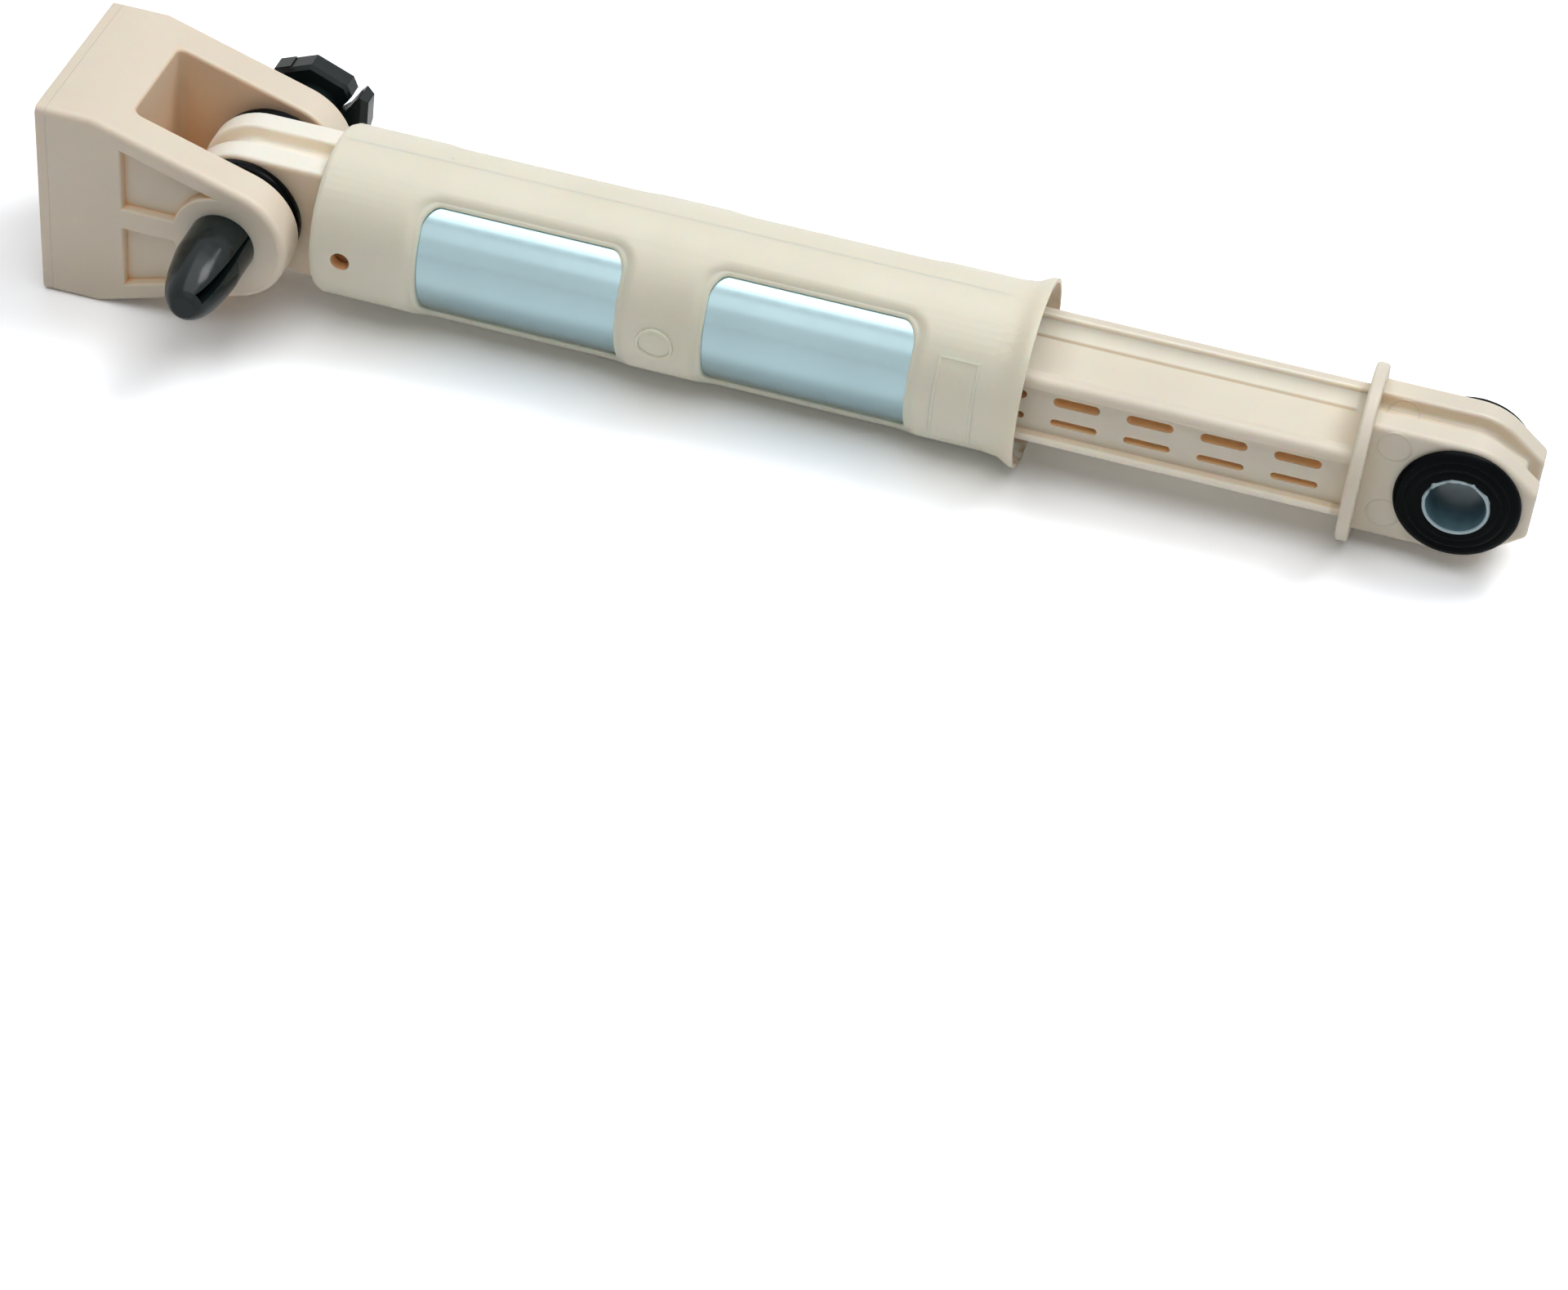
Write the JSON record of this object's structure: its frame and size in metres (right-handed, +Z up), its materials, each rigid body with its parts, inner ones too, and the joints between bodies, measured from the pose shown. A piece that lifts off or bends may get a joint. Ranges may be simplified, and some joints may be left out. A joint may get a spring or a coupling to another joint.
{
  "type": "washing machine shock absorber",
  "caption": "Friction damper with a forked foot bracket, pivot pin, windowed barrel over a steel tube, and a slotted sliding rod with a rubber-bushed eye.",
  "frame": {"origin": "middle of the bracket's flat mounting face", "axes": "+X along the damper from the bracket to the rod eye, Y along the pin and both eyes, +Z up as it lies"},
  "size_m": [0.2781, 0.0707, 0.0414],
  "materials": {
    "bracket_plastic": "satin",
    "jacket_plastic": "satin",
    "rod_plastic": "satin",
    "pin_plastic": "satin",
    "bush_rubber": "satin",
    "sleeve_plastic": "satin",
    "tube_steel": "satin",
    "lining_foam": "matte"
  },
  "bodies": {
    "foot": {"foot_bracket": "bracket_plastic", "pivot_pin": "pin_plastic"},
    "barrel": {"jacket": "jacket_plastic", "steel_tube": "tube_steel", "guide_ring": "pin_plastic", "foot_bush": "bush_rubber", "foot_sleeve": "sleeve_plastic"},
    "lining": {"friction_lining": "lining_foam"},
    "rod": {"plunger_rod": "rod_plastic", "rod_bush": "bush_rubber", "rod_sleeve": "sleeve_plastic"}
  },
  "joints": [
    {"name": "foot_pivot", "type": "hinge", "parent": "foot", "child": "barrel", "pos_m": [0.036, 0, 0], "axis": [0, 1, 0], "range_deg": [-70, 70]},
    {"name": "rod_slide", "type": "slide", "parent": "barrel", "child": "lining", "axis": [1, 0, 0], "range_m": [-0.06, 0.0245]},
    {"name": "rod_turn", "type": "hinge", "parent": "lining", "child": "rod", "pos_m": [0.1355, 0, 0], "axis": [1, 0, 0], "continuous": true}
  ]
}
